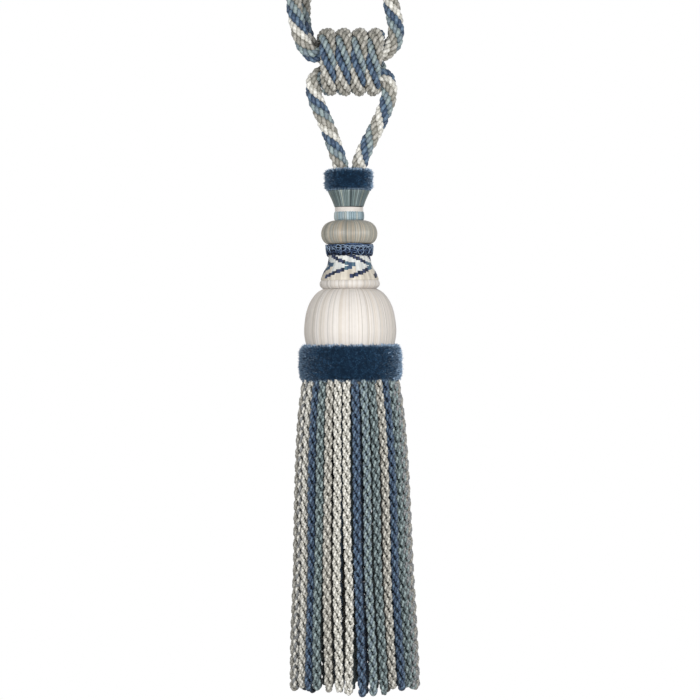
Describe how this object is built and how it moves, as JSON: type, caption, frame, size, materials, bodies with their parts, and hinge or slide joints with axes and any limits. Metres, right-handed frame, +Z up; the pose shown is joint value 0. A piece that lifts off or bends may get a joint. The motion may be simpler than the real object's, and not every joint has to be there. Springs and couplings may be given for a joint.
{
  "type": "curtain tieback tassel",
  "caption": "Hanging curtain tieback: twin twisted embrace ropes, a barrel knot, a bail loop and a turned tassel head over a skirt of bullion cords.",
  "frame": {"origin": "inside of the embrace's crown, where the hook bears", "axes": "+Z up along the hanging tieback, +X to the right seen from the front, -Y towards the viewer"},
  "size_m": [0.0734, 0.0713, 0.4284],
  "materials": {
    "rope": "twisted rayon, blue, sage, taupe and cream strands",
    "velvet": "navy cut pile",
    "neck_thread": "upright sage and blue threads",
    "cream_thread": "cream thread, soft satin",
    "bun_thread": "taupe and cream threads, soft satin",
    "navy_gimp": "looped navy gimp",
    "chevron_braid": "cream and blue stepped chevrons",
    "bullion": "twisted bullion cords, blue, sage, taupe and cream"
  },
  "bodies": {
    "root": {"embrace_front": "rope", "embrace_back": "rope", "bail_rope": "rope", "knot_wrap": "rope", "top_ruff": "velvet", "neck": "neck_thread", "neck_binding": "cream_thread", "bun": "bun_thread", "gimp": "navy_gimp", "chevron_cone": "chevron_braid", "rim_bead": "cream_thread", "ball": "cream_thread", "lower_ruff": "velvet", "skirt": "bullion"}
  },
  "joints": []
}
